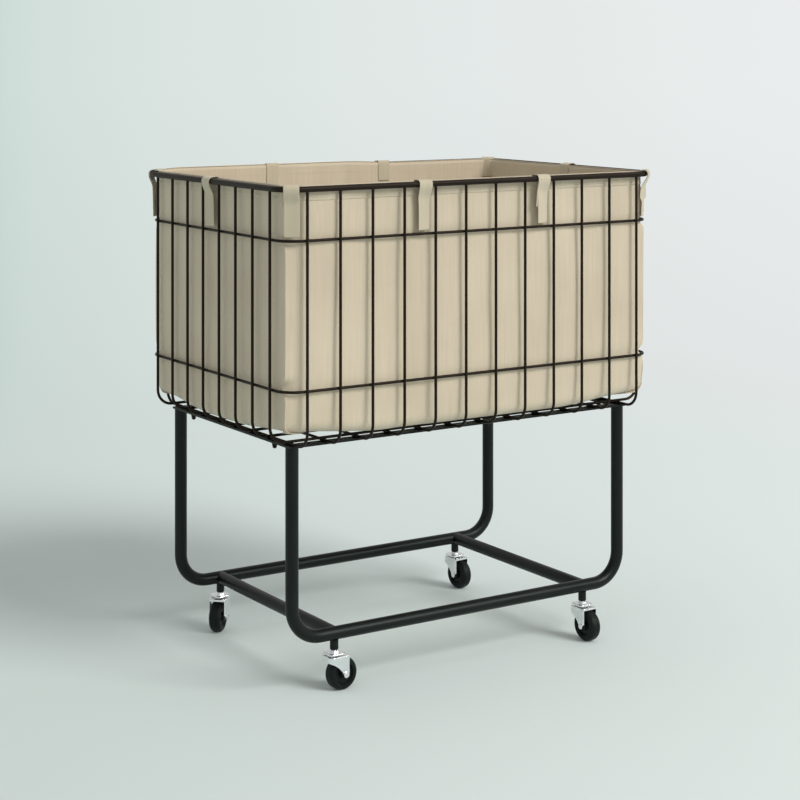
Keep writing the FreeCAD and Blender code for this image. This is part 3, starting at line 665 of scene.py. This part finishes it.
# How each strap hangs. slip moves it along the rim, fall is how far its tail ends up behind the line of the
# rim's centre, skew drifts the tail sideways, per metre of drop, and twist turns it, in degrees.
STRAIGHT = {"slip": 0.0, "fall": 2.0 * MM, "skew": 0.0, "twist": 0}
HANG = {
    "strap_front_left_corner": {"slip": 6.3 * MM, "fall": 4.0 * MM},
    "strap_front_right_corner": {"slip": -2.0 * MM, "fall": 5.5 * MM, "twist": -16},
    "strap_rear_left_corner": {"fall": 2.5 * MM},
    "strap_rear_right_corner": {"slip": 2.0 * MM, "skew": 0.03},
    "strap_front_left": {"slip": 9.0 * MM, "fall": 3.0 * MM, "skew": 0.02, "twist": 12},
    "strap_front_right": {"slip": 3.5 * MM, "skew": 0.02, "ply_skew": -0.08, "twist": 16},
    "strap_rear_left": {"slip": 2.0 * MM, "skew": -0.03},
    "strap_rear_right": {"slip": 5.5 * MM, "skew": 0.04},
    "strap_left": {"slip": -7.5 * MM, "fall": 3.0 * MM, "twist": 7},
    "strap_right": {"slip": -4.7 * MM, "skew": -0.02},
}


def ribbon(name, spine, across, width, webbing, node):
    """A flat strap along spine, a list of points, its width along across, one direction per point."""
    spine = np.array(spine)
    step = np.gradient(spine, axis=0)
    step /= np.linalg.norm(step, axis=1)[:, None]
    reach = lengths_along(spine)
    points, uvs = [], []
    for row, place in enumerate(spine):
        hanging = smooth_step(reach[row] / reach[-1], 0.35, 0.7)
        for k in range(STRAP_COLUMNS):
            side = (k / (STRAP_COLUMNS - 1) - 0.5) * width
            cup = STRAP_CUP * hanging * (2 * side / width) ** 2
            points.append(place + across[row] * side + np.cross(step[row], across[row]) * cup)
            uvs.append((side, reach[row]))
    faces = grid_faces(len(spine), STRAP_COLUMNS, closed=False)
    strap = mesh_object(name, points, faces, uvs, webbing)
    thicken(strap, PLY)
    soften = strap.modifiers.new("Soften", "SUBSURF")
    soften.levels = soften.render_levels = 1
    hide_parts(node)


def strap_path(inside, over_hem, fall, lift):
    """Side view of a strap, as (out, up) from the rim's centre: up the liner's inner face, over the hem
    and the rim, then down outside, where its tail falls back under the rim, between the wires."""
    radius = RIM_RADIUS + lift
    crest = max(over_hem, radius * 0.7)
    sewn = [(-inside, -STRAP_FOOT), (-inside, -16 * MM), (-inside, crest - 3.0 * MM)]
    over = [(-inside + 1.2 * MM, crest - 0.4 * MM), (-inside + 3.5 * MM, crest)]
    for turn in np.linspace(math.radians(100), 0.0, BEND_POINTS):
        over.append((radius * math.cos(turn), radius * math.sin(turn)))
    tail = []
    for t in np.linspace(0, 1, TAIL_POINTS)[1:]:
        tuck = 0.78 * float(smooth_step(t, 0.02, 0.32)) + 0.22 * t
        tail.append((radius - (radius + fall) * tuck, -STRAP_TAIL * t))
    return sewn + over + tail


def make_ply(name, path, place, width, skew, twist, webbing):
    """One layer of a strap. skew drifts its tail sideways and twist turns it."""
    node, foot, way = place
    way = np.array([*way, 0.0])
    foot = np.array([*foot, RIM_Z])
    sideways = np.cross([0, 0, 1.0], way)
    spine, across = [], []
    for out, up in path:
        hanging = smooth_step(-up, 0.0, 35 * MM) if out > -RIM_RADIUS else 0.0
        turn = math.radians(twist) * hanging
        across.append(sideways * math.cos(turn) - way * math.sin(turn))
        drift = sideways * skew * max(-up, 0) * hanging
        spine.append(foot + way * out + np.array([0, 0, up]) + drift)
    ribbon(name, spine, np.array(across), width, webbing, node)


def strap_place(name, slip):
    """The strap's CAD node, the rim's centre under it and the way out of the basket."""
    where = name.removeprefix("strap_").removesuffix("_corner")
    if name.endswith("corner"):
        signs = np.array(SIDE_SIGNS[where])
        turn = math.radians(CORNER_ANGLE[where]) + slip / RIM_CORNER
        way = np.array([math.cos(turn), math.sin(turn)])
        return "corner_straps", signs * (RIM_HALF - RIM_CORNER) + way * RIM_CORNER, way
    if where in SIDE_SIGNS:
        along, end = SIDE_SIGNS[where]
        way = np.array([0.0, end])
        return "long_side_straps", np.array([STRAP_X * along - slip * end, RIM_HALF[1] * end]), way
    side = 1 if where == "right" else -1
    return "short_side_straps", np.array([RIM_HALF[0] * side, slip * side]), np.array([float(side), 0.0])


def liner_under_strap(rows, foot, way):
    """How high the hem stands above the rim's centre at a strap, and how far in the bag's inner face is."""
    mouth = rows[0]
    nearest = np.argsort(np.linalg.norm(mouth[:, :2] - foot, axis=1))[:UNDER_STRAP]
    wall = np.vstack([row[nearest, :2] for row in rows[:HEM_ROWS + 2]])
    hem_top = mouth[nearest, 2].max() - RIM_Z
    return hem_top, float(((foot - wall) @ way).mean()) + CLOTH


def make_straps(rows, webbing):
    """Each strap is two layers: the long one outside and a shorter ply beneath it."""
    for name, habits in HANG.items():
        hang = {**STRAIGHT, **habits}
        fall, skew, twist = hang["fall"], hang["skew"], hang["twist"]
        place = strap_place(name, hang["slip"])
        hem_top, wall = liner_under_strap(rows, place[1], place[2])
        inside = wall + 0.3 * MM
        path = strap_path(inside, hem_top + OVER_HEM, fall, OVER_RIM)
        make_ply(name, path, place, STRAP_WIDTH, skew, twist, webbing)
        under = strap_path(inside, hem_top + OVER_HEM - PLY_STEP, fall, OVER_RIM - PLY_STEP)
        under = [(out, up) for out, up in under if out > -RIM_RADIUS and up > -PLY_LENGTH]
        ply_skew = hang.get("ply_skew", skew)
        make_ply(name + "_under_ply", under, place, STRAP_WIDTH * PLY_SHARE, ply_skew, twist, webbing)


# ---------------------------------------------------------------- studio


FLOOR_HALF = 400
# How far from the middle of the floor it starts and ends melting into the backdrop.
FADE_START, FADE_END = 0.95, 3.4
SURROUND_COLOUR, SURROUND_STRENGTH = (1.0, 0.985, 0.965), 0.57
SUN_COLOUR, SUN_STRENGTH = (1.0, 0.97, 0.94), 2.10
SUN_WIDTH = math.radians(28)
SUN_FROM = Vector((0.50, -1.15, 0.90))

LENS = 86.74
SENSOR = 36
YAW = math.radians(32.96)
PLACE = (-1.74295, -2.68993, 0.97045)
# How far the lens is shifted sideways and down, as shares of the view's width.
SIDE_SHIFT = -0.0006
LOWER = -0.43771


def srgb(*levels):
    """The linear colour of an sRGB one, whose levels run from 0 to 255."""
    return tuple(((v / 255 + 0.055) / 1.055) ** 2.4 for v in levels)


# The backdrop's colours at the left and right of the view; its darker left is painted light falloff.
BACKDROP_LEFT = srgb(203, 219, 213)
BACKDROP_RIGHT = srgb(234, 237, 237)
# Painted light falloff: the backdrop's brightness below the lower of two heights in the view, full from the
# upper one on.
BACKDROP_LOW = 0.905
BACKDROP_HEIGHTS = (0.4, 0.9)
# The floor's colour at the left and right of the view; the darker left is painted shade, a falloff of the
# light.
FLOOR_LEFT = (0.625, 0.718, 0.708)
FLOOR_RIGHT = (0.765, 0.855, 0.85)


def backdrop(n):
    """The backdrop's colour, with painted light falloff: paler to the right and towards the top of the
    view.
    """
    window = n.add("SeparateXYZ", {"Vector": n.add("TexCoord").outputs["Window"]})
    sweep = n.mix(n.math("SQRT", window.outputs["X"]), BACKDROP_LEFT, BACKDROP_RIGHT)
    height = n.remap(window.outputs["Y"], BACKDROP_LOW, 1.0, *BACKDROP_HEIGHTS)
    return n.add("VectorMath", {0: sweep, "Scale": height}, operation="SCALE").outputs["Vector"]


def floor_material():
    """Pale floor, darkened towards the left of the view by painted shade; away from the object it melts
    into the backdrop, glowing with its colour as painted light.
    """
    n = Material("studio_floor")
    window = n.add("SeparateXYZ", {"Vector": n.add("TexCoord").outputs["Window"]})
    colour = n.mix(window.outputs["X"], FLOOR_LEFT, FLOOR_RIGHT)
    n.finish(Base_Color=colour, Roughness=0.9, Specular_IOR_Level=0.1)
    glow = n.add("Emission", {"Color": backdrop(n), "Strength": 1.0})
    position = n.add("NewGeometry").outputs["Position"]
    distance = n.add("VectorMath", {0: position}, operation="LENGTH").outputs["Value"]
    reach = {"Value": distance, "From Min": FADE_START, "From Max": FADE_END}
    fade = n.add("MapRange", reach, interpolation_type="SMOOTHSTEP").outputs["Result"]
    blend = n.add("MixShader", {0: fade, 1: n.surface.outputs["BSDF"], 2: glow.outputs["Emission"]})
    n.put(n.tree.nodes["Material Output"], "Surface", blend.outputs["Shader"])
    return n.material


def make_floor():
    mesh = bpy.data.meshes.new("studio_floor")
    corners = [(x * FLOOR_HALF, y * FLOOR_HALF, 0) for x, y in ((-1, -1), (1, -1), (1, 1), (-1, 1))]
    mesh.from_pydata(corners, [], [(0, 1, 2, 3)])
    mesh.materials.append(floor_material())
    floor = bpy.data.objects.new("studio_floor", mesh)
    bpy.context.scene.collection.objects.link(floor)


def make_world():
    """Even pale surroundings; the camera sees the backdrop's own colours."""
    world = bpy.data.worlds.new("studio")
    bpy.context.scene.world = world
    world.use_nodes = True
    n = Nodes(world.node_tree)
    n.tree.nodes.clear()
    seen = n.add("Background", {"Color": backdrop(n), "Strength": 1.0}).outputs["Background"]
    surround = {"Color": SURROUND_COLOUR, "Strength": SURROUND_STRENGTH}
    lit = n.add("Background", surround).outputs["Background"]
    to_camera = n.add("LightPath").outputs["Is Camera Ray"]
    choose = n.add("MixShader", {0: to_camera, 1: lit, 2: seen})
    n.add("OutputWorld", {"Surface": choose.outputs["Shader"]})


def make_lights():
    """One large soft light, in front and a little to the right."""
    data = bpy.data.lights.new("key_light", "SUN")
    data.energy = SUN_STRENGTH
    data.angle = SUN_WIDTH
    data.color = SUN_COLOUR
    light = bpy.data.objects.new("key_light", data)
    bpy.context.scene.collection.objects.link(light)
    light.location = SUN_FROM * 3
    light.rotation_euler = SUN_FROM.to_track_quat("Z", "Y").to_euler()


def make_camera():
    """A level camera. Its lens is shifted down only at this place, so that other views are centred."""
    data = bpy.data.cameras.new("camera")
    data.lens = LENS
    data.sensor_width = SENSOR
    data.shift_x = SIDE_SHIFT
    camera = bpy.data.objects.new("camera", data)
    bpy.context.scene.collection.objects.link(camera)
    camera.location = PLACE
    camera.rotation_euler = (math.pi / 2, 0, -YAW)
    driver = data.driver_add("shift_y").driver
    place = driver.variables.new()
    place.name = "x"
    place.type = "TRANSFORMS"
    place.targets[0].id = camera
    place.targets[0].transform_type = "LOC_X"
    driver.expression = f"{LOWER} if abs(x - {PLACE[0]}) < 0.001 else 0"
    bpy.context.scene.camera = camera


def make_studio():
    view = bpy.context.scene.view_settings
    view.view_transform = "Standard"
    view.look = "None"
    make_floor()
    make_world()
    make_lights()
    make_camera()


# ---------------------------------------------------------------- scene


def main():
    canvas = woven("canvas", light=(0.635, 0.56, 0.425), dark=(0.575, 0.50, 0.375), thread=0.9 * MM)
    webbing = woven("webbing", light=(0.57, 0.51, 0.385), dark=(0.51, 0.455, 0.34), thread=1.1 * MM)
    paint_cad(canvas, webbing)
    rows = make_bag(canvas)
    make_hem(rows, canvas)
    make_hem_stitching(rows, sewing_thread())
    make_straps(rows, webbing)
    make_studio()
    bpy.context.view_layer.update()


main()
